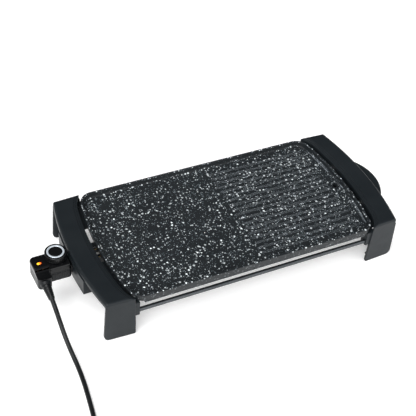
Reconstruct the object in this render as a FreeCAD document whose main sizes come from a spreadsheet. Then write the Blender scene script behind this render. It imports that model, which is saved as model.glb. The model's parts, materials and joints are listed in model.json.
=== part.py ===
import FreeCAD, Part
import math
import os

import Sketcher
from FreeCAD import Placement, Rotation, Vector

# Electric griddle: a cast plate on a two-ended stand, with a plug-in thermostat and a drip tray.
# Millimetres, +Z up, floor at z = 0. Every piece is drawn about the middle of the plate and then
# moved by shift_x, so that the origin is under the middle of the whole griddle without its cord.

doc = FreeCAD.newDocument("electric_griddle")
sheet = doc.addObject("Spreadsheet::Sheet", "dims")

ROWS = [
    ("shift_x", 22.17),
    # deck of both end mouldings
    ("deck_top", 91.1),
    ("deck_skirt_bottom", 79.0),
    ("deck_wall", 3.0),
    ("deck_in_mid", 258.6),
    ("deck_in_shoulder", 249.8),
    ("deck_in_end", 235.4),
    ("deck_shoulder_y", 105.0),
    ("deck_out_mid", 301.5),
    ("deck_out_end", 286.4),
    ("deck_half_in", 137.9),
    ("deck_half_out", 135.4),
    ("deck_round", 4.6),
    ("lip_width", 8.0),
    ("lip_drop", 1.2),
    # legs
    ("leg_thick", 4.5),
    ("leg_bottom", 1.0),
    ("leg_in", 233.3),
    ("leg_out", 289.7),
    ("foot_size", 20.0),
    # housings in the middle of both ends
    ("house_half", 63.5),
    ("house_bottom", 50.0),
    ("house_out", 303.4),
    ("house_wall", 3.0),
    # rods and their brackets
    ("rod_radius", 4.0),
    ("rod_y", 130.1),
    ("rod_z", 50.6),
    ("rod_half", 238.0),
    ("bracket_in", 226.0),
    ("bracket_top", 74.4),
    ("bracket_bottom", 44.0),
    # plate
    ("plate_half", 138.1),
    ("plate_end", 250.6),
    ("plate_bow", 15.5),
    ("plate_corner", 27.0),
    ("plate_top", 88.9),
    ("plate_floor", 79.3),
    ("plate_bottom", 74.6),
    ("plate_rim", 4.6),
    ("rib_count", 18),
    ("rib_pitch", 13.1),
    ("rib_width", 3.8),
    ("rib_height", 2.4),
    ("rib_left", 17.0),
    ("rib_right", 222.0),
    ("drain_x", 236.0),
    ("drain_radius", 6.0),
    # element
    ("element_radius", 3.75),
    ("element_z", 68.5),
    ("element_half", 85.0),
    ("pin_pitch", 19.0),
    ("pin_radius", 2.4),
    ("pin_tip", 252.0),
    ("pin_root", 228.0),
    # drip tray
    ("tray_half", 48.0),
    ("tray_left", 203.0),
    ("tray_right", 304.6),
    ("tray_bottom", 54.0),
    ("tray_top", 71.0),
    ("tray_wall", 2.0),
    ("handle_top", 77.0),
    ("handle_out", 325.4),
    ("handle_radius", 89.3),
    # thermostat
    ("body_right", 305.4),
    ("body_left", 370.0),
    ("body_half", 20.5),
    ("body_bottom", 53.0),
    ("body_split", 75.0),
    ("body_top", 86.5),
    ("body_wall", 2.0),
    ("arm_front", 32.0),
    ("arm_right", 344.0),
    ("knob_x", 325.1),
    ("knob_y", 6.4),
    ("knob_radius", 19.6),
    ("knob_top", 98.4),
    ("knob_bottom", 87.0),
    ("ring_out", 15.4),
    ("ring_in", 12.2),
    ("shaft_radius", 3.0),
    ("nose_half", 15.0),
    ("nose_bottom", 60.0),
    ("nose_top", 74.8),
    ("nose_tip", 236.0),
    ("probe_radius", 2.9),
    ("probe_z", 70.6),
    ("probe_tip", 206.0),
    # cord
    ("cord_radius", 4.1),
    ("coil_radius", 46.0),
    ("plug_pin_radius", 2.4),
    ("plug_pin_long", 19.0),
]
for i, (name, value) in enumerate(ROWS):
    sheet.set("A%d" % (i + 1), name)
    sheet.set("B%d" % (i + 1), str(value))
    sheet.setAlias("B%d" % (i + 1), name)
doc.recompute()


class Q:
    """A number that also knows the spreadsheet expression it came from."""

    def __init__(self, v, t=None):
        self.v = float(v)
        self.t = t if t is not None else ("(%r)" % float(v))

    def __add__(a, b):
        b = q(b)
        return Q(a.v + b.v, "(%s + %s)" % (a.t, b.t))

    def __radd__(a, b):
        return q(b) + a

    def __sub__(a, b):
        b = q(b)
        return Q(a.v - b.v, "(%s - %s)" % (a.t, b.t))

    def __rsub__(a, b):
        return q(b) - a

    def __mul__(a, b):
        b = q(b)
        return Q(a.v * b.v, "(%s * %s)" % (a.t, b.t))

    __rmul__ = __mul__

    def __truediv__(a, b):
        b = q(b)
        return Q(a.v / b.v, "(%s / %s)" % (a.t, b.t))

    def __neg__(a):
        return Q(-a.v, "(0 - %s)" % a.t)


def q(x):
    return x if isinstance(x, Q) else Q(x)


D = {name: Q(getattr(sheet, name), "dims." + name) for name, _ in ROWS}


def V(name):
    return D[name].v


NODES = []


def node(obj, label):
    """Marks a finished object as a sub-part, and moves it by shift_x."""
    obj.Label = label
    obj.setExpression("Placement.Base.x", "dims.shift_x")
    NODES.append(obj)
    return obj


# ---------------------------------------------------------------- Part primitives


def tmp(kind, name="p"):
    return doc.addObject(kind, name)


def bind(obj, prop, value):
    value = q(value)
    obj.setExpression(prop, value.t)


def box(x0, x1, y0, y1, z0, z1):
    b = tmp("Part::Box", "box")
    x0, x1, y0, y1, z0, z1 = (q(a) for a in (x0, x1, y0, y1, z0, z1))
    bind(b, "Length", x1 - x0)
    bind(b, "Width", y1 - y0)
    bind(b, "Height", z1 - z0)
    bind(b, "Placement.Base.x", x0)
    bind(b, "Placement.Base.y", y0)
    bind(b, "Placement.Base.z", z0)
    return b


AXES = {
    "z": Rotation(),
    "x": Rotation(Vector(0, 1, 0), 90),
    "y": Rotation(Vector(1, 0, 0), -90),
}


def cyl(x, y, z, r, h, axis="z"):
    """A cylinder that starts at (x, y, z) and runs h along +axis."""
    c = tmp("Part::Cylinder", "cyl")
    bind(c, "Radius", r)
    bind(c, "Height", h)
    c.Placement = Placement(Vector(0, 0, 0), AXES[axis])
    bind(c, "Placement.Base.x", x)
    bind(c, "Placement.Base.y", y)
    bind(c, "Placement.Base.z", z)
    return c


def cone(x, y, z, r1, r2, h, axis="z"):
    c = tmp("Part::Cone", "cone")
    bind(c, "Radius1", r1)
    bind(c, "Radius2", r2)
    bind(c, "Height", h)
    c.Placement = Placement(Vector(0, 0, 0), AXES[axis])
    bind(c, "Placement.Base.x", x)
    bind(c, "Placement.Base.y", y)
    bind(c, "Placement.Base.z", z)
    return c


def fuse(*objs):
    if len(objs) == 1:
        return objs[0]
    f = tmp("Part::MultiFuse", "fuse")
    f.Shapes = list(objs)
    f.Refine = True
    return f


def cut(a, *tools):
    c = tmp("Part::Cut", "cut")
    c.Base = a
    c.Tool = fuse(*tools)
    c.Refine = True
    return c


def common(a, b):
    c = tmp("Part::Common", "common")
    c.Base = a
    c.Tool = b
    return c


def group(*shapes_or_objs):
    """Several separate solids of one node."""
    c = tmp("Part::Compound", "group")
    c.Links = list(shapes_or_objs)
    return c


def feature(shape, name="f"):
    f = tmp("Part::Feature", name)
    if not shape.Placement.isIdentity():
        shape = Part.makeCompound([shape])
    f.Shape = shape
    return f


def round_edges(obj, radius, test):
    """A Part::Fillet on the edges for which test(edge) holds."""
    doc.recompute()
    f = tmp("Part::Fillet", "fillet")
    f.Base = obj
    f.Edges = [(i + 1, radius, radius) for i, e in enumerate(obj.Shape.Edges) if test(e)]
    doc.recompute()
    return f


# ---------------------------------------------------------------- PartDesign


class Body:
    def __init__(self, name):
        self.b = doc.addObject("PartDesign::Body", name)
        self.n = 0

    def plane(self, role):
        for f in self.b.Origin.OriginFeatures:
            if f.Role == role:
                return f
        raise RuntimeError(role)

    def sketch(self, role, geo, x=0, y=0, z=0, cons=(), binds=()):
        self.n += 1
        sk = self.b.newObject("Sketcher::SketchObject", "%s_sk%d" % (self.b.Name, self.n))
        sk.AttachmentSupport = [(self.plane(role), "")]
        sk.MapMode = "FlatFace"
        x, y, z = q(x), q(y), q(z)
        sk.AttachmentOffset = Placement(Vector(x.v, y.v, z.v), Rotation())
        for k, e in (("x", x), ("y", y), ("z", z)):
            if e.t.startswith("("):
                try:
                    float(e.t.strip("()"))
                    continue
                except ValueError:
                    pass
            sk.setExpression("AttachmentOffset.Base." + k, e.t)
        sk.addGeometry(list(geo), False)
        for c in cons:
            sk.addConstraint(c)
        for i, e in binds:
            sk.setExpression("Constraints[%d]" % i, q(e).t)
        doc.recompute()
        return sk

    def rect(self, role, w, h, x=0, y=0, z=0):
        """A rectangle w by h about (x, y) on the plane, whose size and place follow the sheet."""
        w, h = q(w), q(h)
        a, b = w.v / 2, h.v / 2
        P = [Vector(-a, -b, 0), Vector(a, -b, 0), Vector(a, b, 0), Vector(-a, b, 0)]
        geo = [Part.LineSegment(P[i], P[(i + 1) % 4]) for i in range(4)]
        C = Sketcher.Constraint
        cons = [C("Coincident", i, 2, (i + 1) % 4, 1) for i in range(4)]
        cons += [C("Horizontal", 0), C("Horizontal", 2), C("Vertical", 1), C("Vertical", 3)]
        cons += [C("Symmetric", 0, 1, 1, 2, -1, 1), C("DistanceX", 0, 1, 0, 2, w.v), C("DistanceY", 1, 1, 1, 2, h.v)]
        return self.sketch(role, geo, x, y, z, cons, [(9, w), (10, h)])

    def circle(self, role, r, x=0, y=0, z=0):
        r = q(r)
        geo = [Part.Circle(Vector(0, 0, 0), Vector(0, 0, 1), r.v)]
        C = Sketcher.Constraint
        cons = [C("Coincident", 0, 3, -1, 1), C("Radius", 0, r.v)]
        return self.sketch(role, geo, x, y, z, cons, [(1, r)])

    def _grow(self, kind, sk, length, reverse, taper):
        before = self.volume()
        f = self.b.newObject(kind, "%s_%s%d" % (self.b.Name, kind[12:].lower(), self.n))
        f.Profile = sk
        bind(f, "Length", length)
        f.Reversed = reverse
        if taper:
            f.TaperAngle = taper
        doc.recompute()
        sk.Visibility = False
        now = self.volume()
        if kind.endswith("Pocket"):
            assert now < before - 1e-3, "%s cut nothing" % f.Name
        else:
            assert now > before + 1e-3, "%s added nothing" % f.Name
        return f

    def pad(self, sk, length, reverse=False, taper=0):
        return self._grow("PartDesign::Pad", sk, length, reverse, taper)

    def pocket(self, sk, length, reverse=False, taper=0):
        return self._grow("PartDesign::Pocket", sk, length, reverse, taper)

    def volume(self):
        doc.recompute()
        s = self.b.Shape
        return 0 if s.isNull() else s.Volume

    def revolve(self, role, pts, x=0, y=0, z=0, vertical=True):
        """Turns a closed outline of (radius, height) points about the sketch's vertical axis."""
        geo = outline([Vector(a, b, 0) for a, b in pts])
        sk = self.sketch(role, geo, x, y, z)
        f = self.b.newObject("PartDesign::Revolution", self.b.Name + "_rev%d" % self.n)
        f.Profile = sk
        f.ReferenceAxis = (sk, ["V_Axis"] if vertical else ["H_Axis"])
        f.Angle = 360
        doc.recompute()
        sk.Visibility = False
        assert self.volume() > 0
        return f

    def fillet(self, radius, test, kind="PartDesign::Fillet"):
        doc.recompute()
        base = self.b.Tip
        names = ["Edge%d" % (i + 1) for i, e in enumerate(base.Shape.Edges) if test(e)]
        assert names, "no edges to round in " + self.b.Name
        f = self.b.newObject(kind, "%s_round%d" % (self.b.Name, self.n))
        f.Base = (base, names)
        radius = q(radius)
        if kind.endswith("Chamfer"):
            f.Size = radius.v
        else:
            f.Radius = radius.v
            if not radius.t.startswith("("):
                f.setExpression("Radius", radius.t)
        self.n += 1
        doc.recompute()
        assert "Invalid" not in f.State and "Error" not in f.State, "rounding failed on " + f.Name
        return f

    def linear(self, feat, sk, axis, length, count):
        f = self.b.newObject("PartDesign::LinearPattern", self.b.Name + "_rows")
        f.Originals = [feat]
        f.Direction = (sk, [axis])
        bind(f, "Length", length)
        bind(f, "Occurrences", count)
        self.b.Tip = f
        doc.recompute()
        return f

    def polar(self, feat, sk, count):
        f = self.b.newObject("PartDesign::PolarPattern", self.b.Name + "_ring")
        f.Originals = [feat]
        f.Axis = (sk, ["N_Axis"])
        f.Angle = 360
        f.Occurrences = count
        self.b.Tip = f
        doc.recompute()
        return f


def outline(pts):
    return [Part.LineSegment(pts[i], pts[(i + 1) % len(pts)]) for i in range(len(pts)) if (pts[i] - pts[(i + 1) % len(pts)]).Length > 1e-7]


def rounded(pts, radii):
    """A closed polygon with each corner rounded: lines and arcs."""
    n = len(pts)
    ins, outs, mids = [], [], []
    for i in range(n):
        p, a, b = pts[i], pts[i - 1], pts[(i + 1) % n]
        r = radii[i] if isinstance(radii, (list, tuple)) else radii
        if r <= 0:
            ins.append(p)
            outs.append(p)
            mids.append(None)
            continue
        u = (a - p).normalize()
        w = (b - p).normalize()
        half = u.getAngle(w) / 2
        d = r / math.tan(half)
        t1 = p + Vector(u).multiply(d)
        t2 = p + Vector(w).multiply(d)
        bis = (u + w).normalize()
        c = p + Vector(bis).multiply(r / math.sin(half))
        ins.append(t1)
        outs.append(t2)
        mids.append(c - Vector(bis).multiply(r))
    geo = []
    for i in range(n):
        if mids[i] is not None:
            geo.append(Part.Arc(ins[i], mids[i], outs[i]))
        j = (i + 1) % n
        if (outs[i] - ins[j]).Length > 1e-6:
            geo.append(Part.LineSegment(outs[i], ins[j]))
    return geo


def P2(x, y):
    return Vector(x, y, 0)


def horizontal(z, tol=0.05):
    """Edges lying flat at height z."""
    return lambda e: abs(e.BoundBox.ZMin - z) < tol and abs(e.BoundBox.ZMax - z) < tol


def upright(e):
    b = e.BoundBox
    return b.XLength < 0.2 and b.YLength < 0.2 and b.ZLength > 1


# ---------------------------------------------------------------- outlines


def arc_x(mid, end, half, y):
    """x of the bowed edge at y: an arc through (mid, 0) and (end, +-half)."""
    s = mid - end
    r = (half * half + s * s) / (2 * s)
    return mid - (r - math.sqrt(r * r - y * y))


def deck_outline(side, inset=0.0, lip=0.0, extra=0.0):
    """The deck of an end moulding in plan. inset shrinks it all round. lip > 0 leaves only the strip of that width along the inner edge."""
    hi, ho = V("deck_half_in") - inset, V("deck_half_out") - inset
    ys = V("deck_shoulder_y")

    def inner(y):
        if abs(y) <= ys:
            return arc_x(V("deck_in_mid"), V("deck_in_shoulder"), ys, y)
        return None

    # the inner edge: a long arc, then a tighter arc at each end
    im, ish, ie = V("deck_in_mid") + inset, V("deck_in_shoulder") + inset, V("deck_in_end") + inset * 1.1
    a = P2(ie, -hi)
    b = P2(ish, -ys)
    m1 = P2((ie + ish) / 2 + 1.8, (-hi - ys) / 2)
    c = P2(im, 0)
    if lip:
        w = lip
        a2, b2, c2 = P2(ie + w * 0.9, -hi), P2(ish + w * 0.97, -ys), P2(im + w, 0)
        m2 = P2((a2.x + b2.x) / 2 + 1.8, (a2.y + b2.y) / 2)
        f = lambda p: P2(p.x, -p.y)
        geo = [
            Part.Arc(a, m1, b),
            Part.Arc(b, c, f(b)),
            Part.Arc(f(b), f(m1), f(a)),
            Part.LineSegment(f(a), f(a2)),
            Part.Arc(f(a2), f(m2), f(b2)),
            Part.Arc(f(b2), c2, b2),
            Part.Arc(b2, m2, a2),
            Part.LineSegment(a2, a),
        ]
    else:
        om, oe = V("deck_out_mid") - inset + extra, V("deck_out_end") - inset + extra
        o = P2(oe, -ho)
        f = lambda p: P2(p.x, -p.y)
        geo = [
            Part.Arc(a, m1, b),
            Part.Arc(b, c, f(b)),
            Part.Arc(f(b), f(m1), f(a)),
            Part.LineSegment(f(a), f(o)),
            Part.Arc(f(o), P2(om, 0), o),
            Part.LineSegment(o, a),
        ]
    if side < 0:
        geo = [mirror_x(g) for g in geo]
    return geo


def mirror_x(g):
    m = lambda v: Vector(-v.x, v.y, v.z)
    if isinstance(g, Part.LineSegment):
        return Part.LineSegment(m(g.StartPoint), m(g.EndPoint))
    mid = g.value((g.FirstParameter + g.LastParameter) / 2)
    return Part.Arc(m(g.StartPoint), m(mid), m(g.EndPoint))


def house_outline(side, inset=0.0):
    """The housing in plan: its outer wall follows the deck's bow, its inner wall is straight."""
    h = V("house_half") - inset
    out = V("house_out") - inset
    s = V("deck_out_mid") - arc_x(V("deck_out_mid"), V("deck_out_end"), V("deck_half_out"), h)
    x0 = 263.0 + inset
    geo = [
        Part.LineSegment(P2(x0, -h), P2(x0, h)),
        Part.LineSegment(P2(x0, h), P2(out - s, h)),
        Part.Arc(P2(out - s, h), P2(out, 0), P2(out - s, -h)),
        Part.LineSegment(P2(out - s, -h), P2(x0, -h)),
    ]
    if side < 0:
        geo = [mirror_x(g) for g in geo]
    return geo


# ---------------------------------------------------------------- end mouldings


def stand(name, side, window, ledge):
    B = Body(name)
    # deck with its skirt
    sk = B.sketch("XY_Plane", deck_outline(side), 0, 0, D["deck_skirt_bottom"])
    B.pad(sk, D["deck_top"] - D["deck_skirt_bottom"])
    corner = lambda e: upright(e) and abs(abs(e.BoundBox.XMin) - V("deck_out_end")) < 1 and abs(abs(e.BoundBox.YMin) - V("deck_half_out")) < 1
    B.fillet(3.6, corner)
    top = V("deck_top")

    def rim(e):
        if not horizontal(top)(e):
            return False
        c = e.BoundBox.Center
        return abs(c.x) > 262 or abs(c.y) > 134

    B.fillet(D["deck_round"], rim)
    # two low steps along the inner edge
    sk = B.sketch("XY_Plane", deck_outline(side, -1.0, V("lip_width") + 1.0), 0, 0, D["deck_top"] + 1)
    B.pocket(sk, D["lip_drop"] + 1)
    sk = B.sketch("XY_Plane", deck_outline(side, -1.0, V("lip_width") / 2 + 1.0), 0, 0, D["deck_top"] + 1)
    B.pocket(sk, D["lip_drop"] * 2 + 1)
    # hollow underneath
    sk = B.sketch("XY_Plane", deck_outline(side, V("deck_wall")), 0, 0, D["deck_skirt_bottom"] - 1)
    B.pocket(sk, D["deck_top"] - D["deck_skirt_bottom"] - D["deck_wall"] - D["lip_drop"] + 1, reverse=True)
    # legs: a thin end panel at each end, wider at the floor
    for s in (-1, 1):
        slope = (V("deck_half_in") - V("deck_half_out")) / (V("deck_out_end") - V("deck_in_end"))
        face_y = lambda x: s * (V("deck_half_in") - (x - V("deck_in_end")) * slope)
        a, b = P2(side * 231, face_y(231)), P2(side * 293, face_y(293))
        t = V("leg_thick") * s
        geo = outline([a, b, P2(b.x, b.y - t), P2(a.x, a.y - t)])
        sk = B.sketch("XY_Plane", geo, 0, 0, D["leg_bottom"])
        B.pad(sk, D["deck_skirt_bottom"] - D["leg_bottom"] + 2.0)
    # trim the panels to the legs' outline
    zb, zt = V("leg_bottom"), V("deck_skirt_bottom") + 2.0
    r = 10.0
    xo, xi = V("leg_out"), V("leg_in")
    xo_top, xi_top = V("deck_out_end") + 0.45, V("deck_in_end") - 0.3
    outer = [P2(xo_top, zt + 0.5), P2(xo, zb + r), P2(xo - r * 0.29, zb + r * 0.29), P2(xo - r, zb), P2(xo - r, zb - 2), P2(298, zb - 2), P2(298, zt + 0.5)]
    geo = [
        Part.LineSegment(outer[0], outer[1]),
        Part.Arc(outer[1], outer[2], outer[3]),
        Part.LineSegment(outer[3], outer[4]),
        Part.LineSegment(outer[4], outer[5]),
        Part.LineSegment(outer[5], outer[6]),
        Part.LineSegment(outer[6], outer[0]),
    ]
    inner_cut = [P2(xi_top, zt + 0.5), P2(xi, zb + 3), P2(xi + 0.9, zb + 0.9), P2(xi + 3, zb), P2(xi + 3, zb - 2), P2(225, zb - 2), P2(225, zt + 0.5)]
    geo2 = [
        Part.LineSegment(inner_cut[0], inner_cut[1]),
        Part.Arc(inner_cut[1], inner_cut[2], inner_cut[3]),
        Part.LineSegment(inner_cut[3], inner_cut[4]),
        Part.LineSegment(inner_cut[4], inner_cut[5]),
        Part.LineSegment(inner_cut[5], inner_cut[6]),
        Part.LineSegment(inner_cut[6], inner_cut[0]),
    ]
    for g in (geo, geo2):
        if side < 0:
            g = [mirror_x(k) for k in g]
        sk = B.sketch("XZ_Plane", g, 0, 0, 160)
        B.pocket(sk, 320)
    # foot flanges, with a hole for each rubber foot
    for s in (-1, 1):
        sk = B.rect("XY_Plane", D["foot_size"] + 14, D["foot_size"] - 4, side * 262, s * 126.5, D["leg_bottom"])
        B.pad(sk, 3.0)
        sk = B.circle("XY_Plane", 2.6, side * 262, s * 126.0, 5)
        B.pocket(sk, 6)
    # socket housing: walls only, open below
    sk = B.sketch("XY_Plane", house_outline(side), 0, 0, D["house_bottom"])
    B.pad(sk, D["deck_skirt_bottom"] - D["house_bottom"] + 3)
    sk = B.sketch("XY_Plane", house_outline(side, V("house_wall")), 0, 0, D["house_bottom"] - 1)
    B.pocket(sk, D["deck_skirt_bottom"] - D["house_bottom"] + 8, reverse=True)
    # window through both walls of the housing
    w0, w1, wz0, wz1 = window
    sk = B.rect("YZ_Plane", q(w1) - q(w0), q(wz1) - q(wz0), (q(w1) + q(w0)) / 2, (q(wz1) + q(wz0)) / 2, side * 330)
    B.pocket(sk, 80, reverse=side < 0)
    # brackets that hold the rods and carry the plate
    for s in (-1, 1):
        sk = B.rect("XY_Plane", 242 - D["bracket_in"], 16, side * (D["bracket_in"] + 242) / 2, s * 127.6, D["bracket_bottom"])
        B.pad(sk, D["bracket_top"] - D["bracket_bottom"])
        sk = B.circle("YZ_Plane", D["rod_radius"] + 0.05, s * D["rod_y"], D["rod_z"], side * 200)
        B.pocket(sk, D["rod_half"] - 200 + 0.05, reverse=side > 0)
        sk = B.circle("YZ_Plane", 2.2, s * D["rod_y"], D["rod_z"], side * 237)
        B.pocket(sk, 6, reverse=side > 0)
    # ledges under the gap between the plate and the deck
    for s, y0 in ((-1, ledge[0]), (1, ledge[1])):
        pts = [(238.5, y0), (265, y0), (265, 100), (252, 121), (233, 121), (236.5, 92)]
        geo = outline([P2(side * a, s * b) for a, b in pts])
        sk = B.sketch("XY_Plane", geo, 0, 0, 70.5)
        B.pad(sk, 3.0)
    return B


left = stand("left_stand_body", -1, (-(D["nose_half"] + 1.2), D["nose_half"] + 1.2, D["nose_bottom"] - 1.2, D["nose_top"] + 1.2), (24, 65))
sk = left.rect("XY_Plane", 22, 9.5, -254, 22.25, 70.5)
left.pad(sk, 3.0)
node(left.b, "left_stand")
right = stand("right_stand_body", 1, (-(D["tray_half"] + 1.2), D["tray_half"] + 1.2, D["tray_bottom"] - 0.8, D["tray_top"] + 4.0), (58, 58))
for s in (-1, 1):
    sk = right.circle("YZ_Plane", 1.6, s * (D["tray_half"] + 6.0), 61.5, 272)
    right.pocket(sk, 12)
node(right.b, "right_stand")

# ---------------------------------------------------------------- rods, screws, feet

for label, s in (("front_rod", -1), ("rear_rod", 1)):
    B = Body(label + "_body")
    sk = B.circle("YZ_Plane", D["rod_radius"], s * D["rod_y"], D["rod_z"], -D["rod_half"])
    B.pad(sk, D["rod_half"] * 2)
    for e, rev in ((-1, True), (1, False)):
        sk = B.circle("YZ_Plane", 2.02, s * D["rod_y"], D["rod_z"], e * D["rod_half"])
        B.pocket(sk, 10.0, reverse=e < 0)
    node(B.b, label)

screws = []
for e in (-1, 1):
    for s in (-1, 1):
        rot = Rotation(Vector(0, 1, 0), 90 if e > 0 else -90)
        prof = [(0, 0), (2.0, 0), (2.0, 13.85), (2.8, 13.85), (2.8, 15.6), (2.3, 16.5), (0, 16.5)]
        face = Part.Face(Part.makePolygon([Vector(a, 0, b) for a, b in prof + prof[:1]]))
        sh = face.revolve(Vector(0, 0, 0), Vector(0, 0, 1), 360)
        slot = Part.makeBox(3.6, 0.8, 1.0, Vector(-1.8, -0.4, 15.6))
        slot2 = Part.makeBox(0.8, 3.6, 1.0, Vector(-0.4, -1.8, 15.6))
        sh = sh.cut(slot).cut(slot2)
        sh.Placement = Placement(Vector(e * 228.2, s * V("rod_y"), V("rod_z")), rot)
        screws.append(sh)
node(feature(Part.makeCompound(screws)), "rod_screws")

feet = []
for e in (-1, 1):
    for s in (-1, 1):
        prof = [(0, 0), (6.4, 0), (7.0, 0.4), (7.0, 1.0), (2.5, 1.0), (2.5, 4.0), (3.6, 4.0), (3.2, 5.6), (0, 5.6)]
        face = Part.Face(Part.makePolygon([Vector(a, 0, b) for a, b in prof + prof[:1]]))
        sh = face.revolve(Vector(0, 0, 0), Vector(0, 0, 1), 360)
        sh.Placement = Placement(Vector(e * 262, s * 126.0, 0), Rotation())
        feet.append(sh)
node(feature(Part.makeCompound(feet)), "rubber_feet")

# ---------------------------------------------------------------- plate


def plate_outline(inset=0.0):
    """Two straight long sides and two bowed ends, with round corners."""
    hw = V("plate_half") - inset
    xe = V("plate_end") - inset
    s = V("plate_bow")
    H = V("plate_half")
    R = (H * H + s * s) / (2 * s)
    Ri = R - inset
    cx = xe - Ri
    r = V("plate_corner") - inset
    # centre of the corner arc: r inside both the long side and the bowed end
    yc = hw - r
    xc = cx + math.sqrt((Ri - r) ** 2 - yc**2)
    ang = math.atan2(yc, xc - cx)
    t1 = P2(xc + r * math.cos(ang), yc + r * math.sin(ang))  # on the bowed end
    t2 = P2(xc, hw)  # on the long side
    am = (ang + math.pi / 2) / 2
    mid = P2(xc + r * math.cos(am), yc + r * math.sin(am))
    mx = lambda p: P2(-p.x, p.y)
    my = lambda p: P2(p.x, -p.y)
    mm = lambda p: P2(-p.x, -p.y)
    return [
        Part.Arc(my(t1), P2(xe, 0), t1),
        Part.Arc(t1, mid, t2),
        Part.LineSegment(t2, mx(t2)),
        Part.Arc(mx(t2), mx(mid), mx(t1)),
        Part.Arc(mx(t1), P2(-xe, 0), mm(t1)),
        Part.Arc(mm(t1), mm(mid), mm(t2)),
        Part.LineSegment(mm(t2), my(t2)),
        Part.Arc(my(t2), my(mid), my(t1)),
    ]


B = Body("plate_body")
sk = B.sketch("XY_Plane", plate_outline(), 0, 0, D["plate_top"])
B.pad(sk, D["plate_top"] - D["plate_bottom"], reverse=True, taper=-4)
B.fillet(3.0, horizontal(V("plate_bottom")))
B.fillet(1.0, horizontal(V("plate_top")))
sk = B.sketch("XY_Plane", plate_outline(V("plate_rim")), 0, 0, D["plate_top"])
B.pocket(sk, D["plate_top"] - D["plate_floor"], taper=-8)
B.fillet(3.0, horizontal(V("plate_floor")))
B.fillet(0.9, lambda e: horizontal(V("plate_top"))(e) and e.Length > 20)
rl = V("rib_right") - V("rib_left")
hw = V("rib_width") / 2
y0 = -V("rib_pitch") * (V("rib_count") - 1) / 2
geo = rounded([P2(0, -hw), P2(rl, -hw), P2(rl, hw), P2(0, hw)], hw * 0.999)
sk = B.sketch("XY_Plane", geo, D["rib_left"], -(D["rib_pitch"] * (D["rib_count"] - 1) / 2), D["plate_floor"] - 0.2)
rib = B.pad(sk, D["rib_height"] + 0.2, taper=-22)
B.linear(rib, sk, "V_Axis", D["rib_pitch"] * (D["rib_count"] - 1), D["rib_count"])
sk = B.circle("XY_Plane", 8.5, D["drain_x"], 0, D["plate_bottom"] - 2.0)
B.pad(sk, 3.0)
sk = B.circle("XY_Plane", D["drain_radius"], D["drain_x"], 0, D["plate_floor"] + 2)
B.pocket(sk, 12)
B.fillet(1.6, lambda e: horizontal(V("plate_floor"))(e) and abs(e.BoundBox.Center.x - V("drain_x")) < 1 and e.BoundBox.XLength < 14)

# a turned-down lip along both long sides
for s in (-1, 1):
    sk = B.rect("XY_Plane", 436, 3.6, 0, s * (D["plate_half"] - 2.8), D["plate_bottom"] - 2.3)
    B.pad(sk, 5.7)

# the element's ridge and groove under the plate
ph, ez, eh = V("pin_pitch") / 2, V("element_z"), V("element_half")
PR = V("pin_root")


def element_path(z):
    """From one pin's root round the plate and back: straight runs and tangent arcs."""
    pts = []
    r = 20.0
    c = math.sqrt(0.5)

    def L(a, b):
        return Part.LineSegment(Vector(a[0], a[1], z), Vector(b[0], b[1], z)).toShape()

    def A(a, m, b):
        return Part.Arc(Vector(a[0], a[1], z), Vector(m[0], m[1], z), Vector(b[0], b[1], z)).toShape()

    e = []
    x1 = -205.0  # start of the first bend
    e.append(L((-PR, ph), (x1, ph)))
    e.append(A((x1, ph), (x1 + r * c, ph + r * (1 - c)), (x1 + r, ph + r)))
    e.append(L((x1 + r, ph + r), (x1 + r, eh - r)))
    e.append(A((x1 + r, eh - r), (x1 + r + r * (1 - c), eh - r + r * c), (x1 + 2 * r, eh)))
    xa = 195.0 - 5 - eh
    e.append(L((x1 + 2 * r, eh), (xa, eh)))
    e.append(A((xa, eh), (xa + eh, 0), (xa, -eh)))
    e.append(L((xa, -eh), (x1 + 2 * r, -eh)))
    e.append(A((x1 + 2 * r, -eh), (x1 + r + r * (1 - c), -eh + r - r * c), (x1 + r, -eh + r)))
    e.append(L((x1 + r, -eh + r), (x1 + r, -ph - r)))
    e.append(A((x1 + r, -ph - r), (x1 + r * c, -ph - r * (1 - c)), (x1, -ph)))
    e.append(L((x1, -ph), (-PR, -ph)))
    return Part.Wire(e)


path = element_path(ez)
tube = path.makePipeShell([Part.Wire(Part.Circle(Vector(-PR, ph, ez), Vector(1, 0, 0), V("element_radius")).toShape())], True, False)
want = math.pi * V("element_radius") ** 2 * path.Length
assert tube.isValid() and abs(tube.Volume - want) < 0.01 * want, (tube.Volume, want)
ridge_path = Part.Wire(path.Edges)
rz0, rz1 = ez, V("plate_bottom") + 0.4
rect = Part.makePolygon([Vector(-PR, ph - 5.6, rz0), Vector(-PR, ph + 5.6, rz0), Vector(-PR, ph + 5.6, rz1), Vector(-PR, ph - 5.6, rz1), Vector(-PR, ph - 5.6, rz0)])
ridge = ridge_path.makePipeShell([rect], True, False)
groove = path.makePipeShell([Part.Wire(Part.Circle(Vector(-PR, ph, ez), Vector(1, 0, 0), V("element_radius") + 0.04).toShape())], True, False)
# a channel for the probe: two low walls on the underside
wall1 = box(-226, -200, 3.7, 5.4, 68.6, D["plate_bottom"] + 0.3)
wall2 = box(-226, -200, -5.4, -3.7, 68.6, D["plate_bottom"] + 0.3)
# the ridge ends clear of the bracket and the walls
trim = box(-235, -223.5, -30, 30, 60, D["plate_bottom"])
plate = cut(fuse(B.b, cut(feature(ridge), trim), wall1, wall2), feature(groove))
node(plate, "griddle_plate")
node(feature(tube), "heating_element")

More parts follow.
